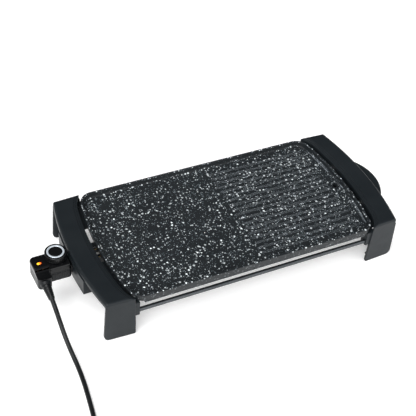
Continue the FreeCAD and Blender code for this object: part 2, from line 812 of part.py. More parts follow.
# terminal pins, their ceramic sleeves and the steel bracket that holds them
pins, beads = [], []
for s in (-1, 1):
    tipx = -V("pin_tip")
    prof = [(0, 0), (1.6, 0), (V("pin_radius"), 1.2), (V("pin_radius"), V("pin_tip") - PR - 0.02), (0, V("pin_tip") - PR - 0.02)]
    face = Part.Face(Part.makePolygon([Vector(a, 0, b) for a, b in prof + prof[:1]]))
    sh = face.revolve(Vector(0, 0, 0), Vector(0, 0, 1), 360)
    sh.Placement = Placement(Vector(tipx, s * ph, ez), Rotation(Vector(0, 1, 0), 90))
    pins.append(sh)
    ring = Part.makeCylinder(4.3, 5.0, Vector(-234.9, s * ph, ez), Vector(1, 0, 0)).cut(Part.makeCylinder(V("pin_radius") + 0.03, 7.0, Vector(-236, s * ph, ez), Vector(1, 0, 0)))
    beads.append(ring)
node(feature(Part.makeCompound(pins)), "terminal_pins")
node(feature(Part.makeCompound(beads)), "pin_insulators")
brk = fuse(box(-229.8, -228.2, 4.6, 15.5, 62.5, D["plate_bottom"] - 0.02), box(-229.8, -228.2, -15.5, -4.6, 62.5, D["plate_bottom"] - 0.02), box(-228.2, -224.0, 7.0, 20.5, D["plate_bottom"] - 1.5, D["plate_bottom"] - 0.02), box(-229.8, -224.0, 15.5, 20.5, D["plate_bottom"] - 1.5, D["plate_bottom"] - 0.02), box(-228.2, -224.0, -20.5, -7.0, D["plate_bottom"] - 1.5, D["plate_bottom"] - 0.02), box(-229.8, -224.0, -20.5, -15.5, D["plate_bottom"] - 1.5, D["plate_bottom"] - 0.02), box(-229.8, -228.2, -4.7, 4.7, D["plate_bottom"] - 0.62, D["plate_bottom"] - 0.02))
brk = cut(brk, cyl(-232, ph, D["element_z"], D["pin_radius"] + 0.03, 6, "x"), cyl(-232, -ph, D["element_z"], D["pin_radius"] + 0.03, 6, "x"), cyl(-227, 17.6, 60, 1.55, 20), cyl(-227, -17.6, 60, 1.55, 20))
node(brk, "terminal_bracket")
heads = []
for s in (-1, 1):
    zt = V("plate_bottom") - 1.52
    sh = Part.makeCylinder(1.5, 1.5, Vector(-227, s * 17.6, zt)).fuse(Part.makeCone(1.9, 2.7, 1.6, Vector(-227, s * 17.6, zt - 1.6)))
    heads.append(sh.removeSplitter())
node(feature(Part.makeCompound(heads)), "bracket_screws")

# ---------------------------------------------------------------- drip tray and rails

B = Body("tray_body")
th, tl, tr = D["tray_half"], D["tray_left"], D["tray_right"]
geo = rounded([P2(V("tray_left"), -V("tray_half")), P2(V("tray_right"), -V("tray_half")), P2(V("tray_right"), V("tray_half")), P2(V("tray_left"), V("tray_half"))], [10, 0.0, 0.0, 10])
sk = B.sketch("XY_Plane", geo, 0, 0, D["tray_bottom"])
B.pad(sk, D["tray_top"] - D["tray_bottom"])
sk = B.rect("XY_Plane", 2.6, th * 2 + 8, tr + 1.3 - 0.01, 0, D["tray_bottom"] - 3)
B.pad(sk, D["handle_top"] - D["tray_bottom"] + 3)
# half-moon handle at the top of the front panel
R = V("handle_radius")
xo = V("handle_out")
xc = xo - R
xi = V("tray_right") + 0.5
hy = math.sqrt(R * R - (xi - xc) ** 2)
geo = [Part.LineSegment(P2(xi, hy), P2(xi, -hy)), Part.Arc(P2(xi, -hy), P2(xo, 0), P2(xi, hy))]
sk = B.sketch("XY_Plane", geo, 0, 0, D["handle_top"] - 6.0)
B.pad(sk, 6.0)
B.fillet(2.0, lambda e: horizontal(V("handle_top"))(e) and e.BoundBox.XMax > xo - 1 and e.Length > 60)
# hollow under the handle, and the tray's well
geo = [Part.LineSegment(P2(xi + 2.6, hy - 9), P2(xi + 2.6, -hy + 9)), Part.Arc(P2(xi + 2.6, -hy + 9), P2(xo - 2.4, 0), P2(xi + 2.6, hy - 9))]
sk = B.sketch("XY_Plane", geo, 0, 0, D["handle_top"] - 7.0)
B.pocket(sk, 4.4, reverse=True)
w = V("tray_wall")
geo = rounded([P2(V("tray_left") + w, -V("tray_half") + w), P2(V("tray_right") - w - 1.5, -V("tray_half") + w), P2(V("tray_right") - w - 1.5, V("tray_half") - w), P2(V("tray_left") + w, V("tray_half") - w)], 8)
sk = B.sketch("XY_Plane", geo, 0, 0, D["tray_top"] + 12)
B.pocket(sk, D["tray_top"] + 12 - D["tray_bottom"] - D["tray_wall"])
node(B.b, "drip_tray")

for label, s in (("tray_rail_front", -1), ("tray_rail_rear", 1)):
    y1, y2 = (th + 0.6, th + 2.2) if s > 0 else (-th - 2.2, -th - 0.6)
    web = box(204, 262.9, y1, y2, D["tray_bottom"] - 2.0, D["tray_top"])
    f1, f2 = (th - 6, th + 2.2) if s > 0 else (-th - 2.2, -th + 6)
    flange = box(204, 262.9, f1, f2, D["tray_bottom"] - 2.0, D["tray_bottom"] - 0.5)
    t1, t2 = (th + 0.6, th + 9.0) if s > 0 else (-th - 9.0, -th - 0.6)
    tab = box(261.4, 262.9, t1, t2, D["tray_bottom"] - 2.0, D["tray_top"] - 2)
    hole = cyl(260, s * (V("tray_half") + 6.0), 61.5, 1.6, 5, "x")
    stop1, stop2 = (th - 4, th + 1.0) if s > 0 else (-th - 1.0, -th + 4)
    stop = box(200.6, 204.1, stop1, stop2, D["tray_bottom"] - 2.0, D["tray_top"] - 4)
    node(cut(fuse(web, flange, tab, stop), hole), label)
heads = []
for s in (-1, 1):
    y = s * (V("tray_half") + 6.0)
    sh = Part.makeCylinder(1.55, 4.6, Vector(261.38, y, 61.5), Vector(1, 0, 0)).fuse(Part.makeCone(2.0, 2.8, 1.7, Vector(259.68, y, 61.5), Vector(1, 0, 0)))
    heads.append(sh.removeSplitter())
node(feature(Part.makeCompound(heads)), "rail_screws")

# ---------------------------------------------------------------- thermostat shells

bl, brt, bh, af, ar = V("body_left"), V("body_right"), V("body_half"), V("arm_front"), V("arm_right")


def shell_outline(inset=0.0, front=None):
    f = (af if front is None else front) - inset
    i = inset
    pts = [P2(-bl + i + 1.5, -f), P2(-ar - i, -f), P2(-ar - i, -bh + i), P2(-brt - i, -bh + i), P2(-brt - i, bh - i), P2(-bl + i, bh - i)]
    rad = [7 - i, 4.6 - min(i, 2), 3 + i, 4.6 - min(i, 2), 4.6 - min(i, 2), 9 - i]
    if front is not None:
        rad[1], rad[2] = 1.0, 1.5
    return rounded(pts, rad)


B = Body("lower_shell_body")
sk = B.sketch("XY_Plane", shell_outline(), 0, 0, D["body_bottom"])
B.pad(sk, D["body_split"] - D["body_bottom"] - 0.15)
B.fillet(4.0, horizontal(V("body_bottom")))
sk = B.sketch("XY_Plane", shell_outline(V("body_wall")), 0, 0, D["body_split"] + 1)
B.pocket(sk, D["body_split"] - D["body_bottom"] + 1 - 2.4)
# opening for the nose, and the cord's outlet
sk = B.rect("YZ_Plane", D["nose_half"] * 2 + 0.1, 78 - D["nose_bottom"] + 0.05, 0, (78 + D["nose_bottom"]) / 2 - 0.025, -300)
B.pocket(sk, 10)
# grip ribs on the front and rear faces
for s in (-1, 1):
    sk = B.rect("XY_Plane", 2.0, 2.4, -339.3, s * D["body_half"], D["body_bottom"] + 4.6)
    rib = B.pad(sk, 14.5)
    f = B.b.newObject("PartDesign::LinearPattern", "grip_rows_%d" % (s + 1))
    f.Originals = [rib]
    f.Direction = (sk, ["H_Axis"])
    f.Length = 26.4
    f.Occurrences = 7
    B.b.Tip = f
    doc.recompute()
lower = B.b
SRA = math.degrees(math.atan2(7.8, 29.0))  # the outlet points down by this angle
sr0 = Vector(-355.7, -31.0, 65.0)
sr_dir = Vector(0.6, -29.0, -7.8).normalize()
outlet = feature(Part.makeCylinder(6.55, 22, sr0 - Vector(sr_dir).multiply(8.0), sr_dir))
collar = Part.makeCone(10.2, 9.4, 5.0, sr0 - Vector(sr_dir).multiply(1.5), sr_dir)
POSTS = ((-313.9, -15.6), (-313.9, 15.6), (-363.8, 14.2))
posts = [cyl(x, y, 54.0, 2.4, D["body_split"] - 0.15 - 54.0) for x, y in POSTS]
holes = [cyl(x, y, 50.0, 1.3, 40) for x, y in POSTS] + [cyl(x, y, 50.0, 1.95, 5.12) for x, y in POSTS]
lower = cut(fuse(lower, feature(collar), *posts), outlet, *holes)
node(lower, "thermostat_lower_shell")

B = Body("upper_shell_body")
sk = B.sketch("XY_Plane", shell_outline(), 0, 0, D["body_split"] + 0.15)
B.pad(sk, D["body_top"] - D["body_split"] - 0.15)
B.fillet(3.8, horizontal(V("body_top")))
# the arm's top slopes down to the cord
geo = outline([P2(-9.0, V("body_top") + 4), P2(-9.0, V("body_top")), P2(-17.0, V("body_top") - 5.2), P2(-26.0, V("body_split") + 3.2), P2(-44.0, V("body_split") + 2.2), P2(-44.0, V("body_top") + 4)])
sk = B.sketch("YZ_Plane", geo, 0, 0, -ar - 0.0 - 0.001)
B.pocket(sk, 40)
sk = B.sketch("XY_Plane", shell_outline(V("body_wall"), 24.0), 0, 0, D["body_split"] - 1)
B.pocket(sk, 1 + 2.2, reverse=True)
sk = B.rect("XY_Plane", D["body_left"] - D["body_right"] - 4.2, D["body_half"] * 2 - 10.5, -(D["body_left"] + D["body_right"]) / 2, 1.0, D["body_split"] - 1)
B.pocket(sk, D["body_top"] - D["body_split"] - 1.2, reverse=True)
sk = B.circle("XY_Plane", 4.02, -D["knob_x"], D["knob_y"], D["body_top"] + 2)
B.pocket(sk, 8)
geo = rounded([P2(-360.9, -2.6), P2(-352.7, -2.6), P2(-352.7, 2.2), P2(-360.9, 2.2)], 2.2)
sk = B.sketch("XY_Plane", geo, 0, 0, D["body_top"] + 2)
B.pocket(sk, 8)
# index mark for the dial
sk = B.rect("XY_Plane", 3.2, 1.2, -321.5, -14.6, D["body_top"] - 0.2)
B.pad(sk, 0.7)
posts = [cyl(x, y, D["body_split"] + 0.15, 2.4, D["body_top"] - D["body_split"] - 1.5) for x, y in POSTS]
holes = [cyl(x, y, 70.0, 1.03, 10.1) for x, y in POSTS]
node(cut(fuse(B.b, *posts), *holes), "thermostat_upper_shell")

# ---------------------------------------------------------------- thermostat inside

nh, nb, nt, ntip = D["nose_half"], D["nose_bottom"], D["nose_top"], D["nose_tip"]
nose = fuse(box(-311.0, -253.6, -nh, nh, nb, nt), box(-254, -ntip, -nh, nh, nb, nt - 1.8), box(-311.0, -307.45, -(nh + 1.6), nh + 1.6, nb - 1.2, nt))
channels = []
for s in (-1, 1):
    y1, y2 = (q(5.2), nh - 1.6) if s > 0 else (-nh + 1.6, q(-5.2))
    channels.append(box(-312, -ntip + 1, y1, y2, nb + 2.6, nt - 1.2))
    channels.append(box(-253.6, -ntip + 1, y1, y2, nb + 2.6, nt + 1))
channels.append(box(-312, -253.0, -3.6, 3.6, nb + 7.0, nt - 1.0))
channels.append(box(-253.6, -ntip + 1, -3.6, 3.6, nb + 7.0, nt + 1))
nose = cut(nose, *channels)
node(nose, "connector_nose")

forks = []
for s in (-1, 1):
    yc = s * ph
    base = box(-270, -ntip - 1.5, yc - 3.4, yc + 3.4, nb + 2.62, nb + 3.22)
    in1 = box(-252, -ntip - 1.5, yc - 3.4, yc - 2.75, nb + 2.62, D["element_z"] + 2.0)
    in2 = box(-252, -ntip - 1.5, yc + 2.75, yc + 3.4, nb + 2.62, D["element_z"] + 2.0)
    tail = box(-318.48, -269.9, yc - 1.6, yc + 1.6, nb + 2.62, nb + 3.22)
    forks.append(fuse(base, in1, in2, tail))
node(group(*forks), "contact_forks")

B = Body("probe_body")
pr = V("probe_radius")
L0, L1 = 317.0, V("probe_tip")
prof = [(0, L1), (pr * 0.55, L1 + 0.5), (pr, L1 + 2.6), (pr, L0 - 6), (pr + 1.2, L0 - 6), (pr + 1.2, L0 - 3), (pr, L0 - 3), (pr, L0), (0, L0)]
face = Part.Face(Part.makePolygon([Vector(a, 0, b) for a, b in prof + prof[:1]]))
sh = face.revolve(Vector(0, 0, 0), Vector(0, 0, 1), 360)
sh.Placement = Placement(Vector(0, 0, V("probe_z")), Rotation(Vector(0, 1, 0), -90))
doc.removeObject(B.b.Name)
node(feature(sh), "sensor_probe")

base = fuse(box(-342, -318.5, -13, 13, 55.6, 66.0), box(-342, -336, -5.5, 5.5, 65.9, 70.0), box(-342, -336.5, 8.0, 13, 65.9, 71.5), box(-342, -336.5, -13, -8.0, 65.9, 71.5))
node(base, "switch_base")
node(fuse(box(-342, -317.5, -3.0, 3.0, 70.05, 71.0), box(-318.4, -317.5, -3.0, 3.0, 68.5, 70.2)), "bimetal_strip")
blades = []
for s in (-1, 1):
    y1, y2 = (8.2, 12.6) if s > 0 else (-12.6, -8.2)
    blades.append(fuse(box(-341.5, -320, y1, y2, 71.55, 72.05), cyl(-322.5, (y1 + y2) / 2, 70.4, 1.5, 1.2)))
node(group(*blades), "contact_blades")
lamp = feature(Part.makeCylinder(2.4, 9.0, Vector(-361.4, -0.2, 79.6), Vector(1, 0, 0)).fuse(Part.makeSphere(2.4, Vector(-352.4, -0.2, 79.6))).removeSplitter())
node(lamp, "neon_lamp")
geo = rounded([P2(-360.85, -2.55), P2(-352.75, -2.55), P2(-352.75, 2.15), P2(-360.85, 2.15)], 2.15)
B = Body("lens_body")
sk = B.sketch("XY_Plane", geo, 0, 0, D["body_top"] - 3.2)
B.pad(sk, 4.2)
B.fillet(1.2, horizontal(V("body_top") + 1.0))
geo = rounded([P2(-361.9, -3.6), P2(-351.7, -3.6), P2(-351.7, 3.2), P2(-361.9, 3.2)], 2.5)
sk = B.sketch("XY_Plane", geo, 0, 0, D["body_top"] - 3.2)
B.pad(sk, 0.8)
node(B.b, "indicator_lens")

bush = cut(fuse(cyl(-D["knob_x"], D["knob_y"], D["body_top"] - 3.5, 4.0, 3.9), cyl(-D["knob_x"], D["knob_y"], D["body_top"] - 4.9, 5.6, 1.5)), cyl(-D["knob_x"], D["knob_y"], 70, D["shaft_radius"] + 0.05, 30))
node(bush, "spindle_bush")


def tube_along(pts, radius, name):
    """A tube of straight runs joined by tangent arcs, each arc 0.45 of its shorter run. Prints its radii."""
    pts = [Vector(*p) for p in pts]
    edges, radii = [], []
    start = pts[0]
    for i in range(1, len(pts) - 1):
        a, p, b = pts[i - 1], pts[i], pts[i + 1]
        u, w = (a - p), (b - p)
        la, lb = u.Length, w.Length
        u.normalize()
        w.normalize()
        inner = u.getAngle(w)
        turn = math.pi - inner
        d = 0.45 * min(la, lb)
        r = d / math.tan(turn / 2)
        radii.append(round(r, 1))
        t1, t2 = p + Vector(u).multiply(d), p + Vector(w).multiply(d)
        bis = (u + w).normalize()
        c = p + Vector(bis).multiply(math.hypot(r, d))
        m = c - Vector(bis).multiply(r)
        edges.append(Part.LineSegment(start, t1).toShape())
        edges.append(Part.Arc(t1, m, t2).toShape())
        start = t2
    edges.append(Part.LineSegment(start, pts[-1]).toShape())
    wire = Part.Wire(edges)
    n = (pts[1] - pts[0]).normalize()
    sh = wire.makePipeShell([Part.Wire(Part.Circle(pts[0], n, radius).toShape())], True, False)
    want = math.pi * radius * radius * wire.Length
    print(name, "length", round(wire.Length, 1), "radii", radii, "volume ratio", round(sh.Volume / want, 4))
    assert sh.isValid() and abs(sh.Volume / want - 1) < 0.01
    return sh, wire.Length


wires = []
for pts in (
    [(-353.4, -24.9, 68.3), (-349.6, -13, 69.8), (-345.5, -8.0, 72.6), (-340.5, -10.0, 73.3)],
    [(-358.2, -24.9, 68.3), (-361.5, -9, 69.4), (-358, 6, 71.5), (-348, 10.6, 73.3), (-340.5, 10.4, 73.3)],
    [(-355.8, -24.9, 64.4), (-355.5, -9, 61.0), (-352.0, 4, 60.0), (-346.5, 9.0, 61.0), (-343.4, 13.5, 62.0)],
):
    sh, _ = tube_along(pts, 1.1, "lead")
    wires.append(sh)
node(feature(Part.makeCompound(wires)), "lead_wires")

clamp = cut(fuse(box(-364.5, -347, -20.2, -14.8, 55.6, 60.2), box(-364.5, -347, -20.2, -14.8, 55.6, 60.2)), cyl(-362.4, -17.5, 50, 1.3, 14), cyl(-349.1, -17.5, 50, 1.3, 14))
node(clamp, "cord_clamp")
heads = []
for x in (-362.4, -349.1):
    heads.append(Part.makeCylinder(1.28, 4.6, Vector(x, -17.5, 55.62)).fuse(Part.makeCylinder(2.4, 1.4, Vector(x, -17.5, 60.22))).removeSplitter())
node(feature(Part.makeCompound(heads)), "clamp_screws")

# ---------------------------------------------------------------- knob

kx, ky, kr, kt, kb = V("knob_x"), V("knob_y"), V("knob_radius"), V("knob_top"), V("knob_bottom")
ro, ri = V("ring_out"), V("ring_in")
B = Body("knob_body_body")
prof = [(3.05, kb), (kr - 1.6, kb), (kr, kb + 1.4), (kr - 0.5, kt - 1.2), (kr - 1.1, kt - 0.3), (ro + 0.05, kt - 0.3), (ro + 0.05, kt - 1.4), (ri - 0.05, kt - 1.4), (ri - 0.05, kt - 2.2), (3.05, kt - 2.2)]
B.revolve("XZ_Plane", prof, 0, 0, 0)
geo = [Part.Circle(Vector(kr + 0.35, 0, 0), Vector(0, 0, 1), 0.95)]
sk = B.sketch("XY_Plane", geo, 0, 0, kb + 1.8)
flute = B.pocket(sk, 14, reverse=True)
B.polar(flute, sk, 36)
B.b.Placement = Placement(Vector(-kx, ky, 0), Rotation())
B.b.Label = "knob_core"
knob_holder = tmp("Part::Compound", "knob_group")
knob_holder.Links = [B.b]
node(knob_holder, "knob_body")

B = Body("ring_body")
B.revolve("XZ_Plane", [(ri, kt - 1.38), (ro, kt - 1.38), (ro, kt - 0.1), (ro - 0.5, kt + 0.35), (ri + 0.5, kt + 0.35), (ri, kt - 0.1)], 0, 0, 0)
B.b.Placement = Placement(Vector(-kx, ky, 0), Rotation())
B.b.Label = "ring_core"
g = tmp("Part::Compound", "ring_group")
g.Links = [B.b]
node(g, "knob_ring")
B = Body("cap_body")
B.revolve("XZ_Plane", [(0, kt - 2.18), (ri - 0.06, kt - 2.18), (ri - 0.06, kt - 0.9), (ri - 1.0, kt - 0.2), (4.2, kt - 0.75), (0, kt - 0.85)], 0, 0, 0)
B.b.Placement = Placement(Vector(-kx, ky, 0), Rotation())
B.b.Label = "cap_core"
g = tmp("Part::Compound", "cap_group")
g.Links = [B.b]
node(g, "knob_cap")
shaft = cut(cyl(-D["knob_x"], D["knob_y"], 74.6, D["shaft_radius"], D["knob_top"] - 74.6 - 2.25), box(-D["knob_x"] + 2.0, -D["knob_x"] + 5, D["knob_y"] - 5, D["knob_y"] + 5, 88, 110))
node(shaft, "knob_spindle")

# ---------------------------------------------------------------- shell screws

heads = []
for x, y in POSTS:
    sh = Part.makeCylinder(1.0, 25.0, Vector(x, y, 55.0)).fuse(Part.makeCylinder(1.9, 1.6, Vector(x, y, 53.5)))
    heads.append(sh.removeSplitter())
node(feature(Part.makeCompound(heads)), "shell_screws")

# ---------------------------------------------------------------- cord

sr_len = 30.0
prof = [(0, 2.0), (6.5, 2.0), (6.5, 11.6), (7.8, 11.6), (7.7, 14.0), (5.6, 36.5), (5.0, 38.0), (0, 38.0)]
face = Part.Face(Part.makePolygon([Vector(a, 0, b) for a, b in prof + prof[:1]]))
sh = face.revolve(Vector(0, 0, 0), Vector(0, 0, 1), 360)
for k in range(5):
    z = 16.5 + k * 4.2
    r_here = 7.2 - (z - 13.0) / 23.5 * 1.6
    groove = Part.makeCylinder(9, 1.5, Vector(0, 0, z)).cut(Part.makeCylinder(r_here - 0.7, 1.5, Vector(0, 0, z)))
    sh = sh.cut(groove)
sh.Placement = Placement(sr0 - Vector(sr_dir).multiply(8.0), Rotation(Vector(0, 0, 1), sr_dir))
node(feature(sh), "strain_relief")
exit_pt = sr0 + Vector(sr_dir).multiply(30.0)
print("cord exit", [round(a, 2) for a in exit_pt])
CZ = V("cord_radius") + 0.1
CC = Vector(-411.0, -333.0, 0)  # middle of the coil
route = [
    tuple(exit_pt),
    (-355.3, -81.5, 51.2),
    (-355.0, -103.5, 38.6),
    (-353.4, -124.0, 22.0),
    (-350.9, -146.0, 8.2),
    (-350.0, -173.0, CZ),
    (-351.9, -205.0, CZ),
    (-355.6, -237.0, CZ),
    (-359.6, -266.0, CZ),
    (-363.4, -291.0, CZ),
    (-365.6, -314.0, CZ),
]
coil_r = V("coil_radius")
entry = CC + Vector(coil_r, 0, CZ)
lead, cord_len = tube_along([tuple(p) for p in route] + [(CC.x + coil_r, CC.y, CZ)], V("cord_radius"), "lead")

# the coil: a ring whose section holds two turns beside each other, two high, with a small step where the tube comes in
c2 = V("cord_radius") * 2
half = c2 + 0.1
sec = [
    P2(coil_r - half, 0.6),
    P2(coil_r + half, 0.6),
    P2(coil_r + half, 2 * c2),
    P2(coil_r - half, 2 * c2),
]
geo = rounded([Vector(p.x, 0, p.y + 0.0) for p in sec], 3.4)
wire = Part.Wire([g.toShape() for g in geo])
ring = Part.Face(wire).revolve(Vector(0, 0, 0), Vector(0, 0, 1), 360)
ring.translate(CC)
tail_route = [
    (-367.8, -317.3, 12.3),
    (-353.4, -356.8, 12.9),
    (-362.6, -387.4, 15.2),
    (-388.3, -406.6, 17.9),
    (-412.0, -406.6, 18.6),
]
lead_route = [tuple(p) for p in route] + [(CC.x + coil_r, CC.y, CZ)]
for points in (lead_route, tail_route):
    wider, _ = tube_along(points, V("cord_radius") + 0.04, "slot")
    ring = ring.cut(wider)
ring = max(ring.Solids, key=lambda k: k.Volume)
print("coil valid", ring.isValid(), len(ring.Solids), round(ring.Volume))
node(feature(ring), "cord_coil")

# the plug lies beside the coil
plug_z = 18.6
plug_y = -406.6
pdir = Vector(-1, 0, 0)
prof = [(0, 0), (5.2, 0), (6.6, 15.0), (9.0, 20.0), (13.5, 24.0), (16.5, 29.0), (18.4, 36.0), (18.4, 48.0), (17.6, 50.0), (0, 50.0)]
face = Part.Face(Part.makePolygon([Vector(a, 0, b) for a, b in prof + prof[:1]]))
plug = face.revolve(Vector(0, 0, 0), Vector(0, 0, 1), 360)
# flats at the sides with the earth contacts' grooves
for s in (-1, 1):
    plug = plug.cut(Part.makeBox(5.6, 6, 16.1, Vector(-2.8, 16.4 if s > 0 else -22.4, 34.0)))
plug_place = Placement(Vector(-412.0, plug_y, plug_z), Rotation(Vector(0, 0, 1), pdir))
pins, earths = [], []
for s in (-1, 1):
    pin = Part.makeCylinder(V("plug_pin_radius"), V("plug_pin_long"), Vector(s * 9.5, 0, 50.02))
    pin = pin.makeFillet(0.8, [e for e in pin.Edges if abs(e.BoundBox.ZMin - 50.02 - V("plug_pin_long")) < 0.01 and e.BoundBox.ZLength < 0.01])
    pins.append(pin)
    earths.append(Part.makeBox(4.4, 0.8, 13.0, Vector(-2.2, 16.42 if s > 0 else -17.22, 35.0)))
for sh_ in [plug] + pins + earths:
    sh_.Placement = plug_place.multiply(sh_.Placement)
node(feature(plug), "plug_body")
node(feature(Part.makeCompound(pins)), "plug_pins")
node(feature(Part.makeCompound(earths)), "plug_earth_contacts")
# the short free end between the coil and the plug
sh, tail_len = tube_along(tail_route, V("cord_radius"), "tail")
print("cord outside the coil", round(cord_len + tail_len, 1))
node(feature(Part.makeCompound([lead, sh])), "power_cord")
tie = Part.makeBox(18.2, 6.0, 17.0, Vector(-9.1, -3.0, 0.02)).cut(Part.makeBox(17.1, 8.0, 15.9, Vector(-8.55, -4.0, 0.56)))
tie = tie.fuse(Part.makeBox(7.0, 8.5, 2.2, Vector(-3.5, -4.25, 17.0))).removeSplitter()
ta = math.radians(112)
tie.Placement = Placement(CC + Vector(math.cos(ta) * coil_r, math.sin(ta) * coil_r, 0), Rotation(Vector(0, 0, 1), 112))
node(feature(tie), "coil_tie")

doc.recompute()

# ---------------------------------------------------------------- check and write

os.makedirs("parts", exist_ok=True)
for o in doc.Objects:
    bad = [s for s in o.State if s in ("Invalid", "Error")]
    if bad:
        raise RuntimeError("%s (%s) is %s" % (o.Label, o.Name, bad))
lo = [1e9] * 3
hi = [-1e9] * 3
cordy = ("power_cord", "cord_coil", "plug_body", "plug_pins", "plug_earth_contacts", "coil_tie", "cord_tail", "strain_relief")
for o in NODES:
    s = o.Shape
    if s.isNull() or not s.isValid() or not s.Solids:
        raise RuntimeError("bad shape " + o.Label)
    s.exportStep("parts/%s.step" % o.Label)
    b = s.optimalBoundingBox(True, False)
    if o.Label not in cordy:
        lo = [min(lo[0], b.XMin), min(lo[1], b.YMin), min(lo[2], b.ZMin)]
        hi = [max(hi[0], b.XMax), max(hi[1], b.YMax), max(hi[2], b.ZMax)]
print(len(NODES), "nodes; box without the cord", [round(a, 2) for a in lo], [round(a, 2) for a in hi], "x middle", round((lo[0] + hi[0]) / 2, 3), "y middle", round((lo[1] + hi[1]) / 2, 3))
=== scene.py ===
import json
import math

import bpy
from mathutils import Matrix, Vector


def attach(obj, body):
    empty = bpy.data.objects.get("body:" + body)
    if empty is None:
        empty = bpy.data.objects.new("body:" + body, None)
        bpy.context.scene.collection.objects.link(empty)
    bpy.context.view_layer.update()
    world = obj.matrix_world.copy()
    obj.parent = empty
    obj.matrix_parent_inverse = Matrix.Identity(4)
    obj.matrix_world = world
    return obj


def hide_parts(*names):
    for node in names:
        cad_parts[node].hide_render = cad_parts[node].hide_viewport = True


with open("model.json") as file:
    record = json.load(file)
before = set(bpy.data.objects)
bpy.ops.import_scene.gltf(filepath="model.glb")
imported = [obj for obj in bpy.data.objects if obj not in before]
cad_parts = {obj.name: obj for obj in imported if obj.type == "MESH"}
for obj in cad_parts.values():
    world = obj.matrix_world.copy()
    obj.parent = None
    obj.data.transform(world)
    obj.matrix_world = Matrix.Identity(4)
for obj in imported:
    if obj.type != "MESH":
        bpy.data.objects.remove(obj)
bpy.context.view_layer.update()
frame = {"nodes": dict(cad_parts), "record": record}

scene = bpy.context.scene
nodes = frame["nodes"]
S = 0.02217  # the CAD's shift_x, in metres


def P(x, y, z):
    """A point given in the drawing's millimetres."""
    return Vector((x / 1000 + S, y / 1000, z / 1000))


# ---------------------------------------------------------------- camera

cam_data = bpy.data.cameras.new("camera")
cam = bpy.data.objects.new("camera", cam_data)
scene.collection.objects.link(cam)
scene.camera = cam
ROT = Vector((2.2862986213115417, -0.4774225335632366, 0.3050202233426922))
MOVE = Vector((27.07216391745519, 70.87889906116668, 1859.0428243232586))
M = Matrix.Rotation(ROT.length, 3, ROT.normalized())
C = -(M.transposed() @ MOVE)
right = M.transposed() @ Vector((1, 0, 0))
up = -(M.transposed() @ Vector((0, 1, 0)))
back = -(M.transposed() @ Vector((0, 0, 1)))
cam.matrix_world = Matrix((
    (right.x, up.x, back.x, C.x / 1000 + S),
    (right.y, up.y, back.y, C.y / 1000),
    (right.z, up.z, back.z, C.z / 1000),
    (0, 0, 0, 1),
))
cam_data.sensor_width = 36
cam_data.sensor_fit = "HORIZONTAL"
cam_data.lens = 980.1483438932189 / 416 * 36
cam_data.clip_start = 0.05
cam_data.clip_end = 50

# ---------------------------------------------------------------- cord

LEAD = [
    (-355.10, -59.96, 57.21),
    (-355.3, -81.5, 51.2),
    (-355.0, -103.5, 38.6),
    (-353.4, -124.0, 22.0),
    (-350.9, -146.0, 8.2),
    (-350.0, -173.0, 4.2),
    (-351.9, -205.0, 4.2),
    (-355.6, -237.0, 4.2),
    (-359.6, -266.0, 4.2),
    (-363.4, -291.0, 4.2),
    (-365.2, -314.0, 4.2),
]
TAIL = [
    (-353.6, -356.8, 13.0),
    (-362.6, -387.4, 15.2),
    (-388.3, -406.6, 17.9),
    (-412.0, -406.6, 18.6),
]
# where the turns lie: (turns from the entry, radius, height)
TURNS = [
    (0.00, 46.0, 4.2),
    (0.12, 50.2, 4.2),
    (0.78, 50.2, 4.2),
    (0.97, 41.8, 4.2),
    (1.58, 41.8, 4.2),
    (1.76, 41.8, 12.45),
    (2.40, 41.8, 12.45),
    (2.56, 50.2, 12.45),
    (2.93, 50.2, 12.45),
]


def turn_at(u):
    for (u0, r0, z0), (u1, r1, z1) in zip(TURNS, TURNS[1:]):
        if u <= u1 + 1e-9:
            t = (u - u0) / (u1 - u0)
            t = t * t * (3 - 2 * t)
            return r0 + (r1 - r0) * t, z0 + (z1 - z0) * t
    return TURNS[-1][1:]


coil = []
for k in range(1, 48):
    u = k / 16.0
    if u > 2.93:
        break
    r, z = turn_at(u)
    a = -2 * math.pi * u
    coil.append((-411.0 + r * 1.0195 * math.cos(a), -333.0 + r * 1.0195 * math.sin(a), z))

route = [P(*p) for p in LEAD + coil + TAIL]
cu = bpy.data.curves.new("power_cord_line", "CURVE")
cu.dimensions = "3D"
sp = cu.splines.new("NURBS")
sp.points.add(len(route) - 1)
for pt, p in zip(sp.points, route):
    pt.co = (p.x, p.y, p.z, 1.0)
    pt.radius = 0.0041
sp.order_u = 3
sp.use_endpoint_u = True
sp.resolution_u = 10
cu.bevel_depth = 1.0
cu.bevel_resolution = 6
cu.use_fill_caps = True
cord = bpy.data.objects.new("mains_cord", cu)
scene.collection.objects.link(cord)
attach(cord, "thermostat")
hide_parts("power_cord", "cord_coil")

# ---------------------------------------------------------------- material tools


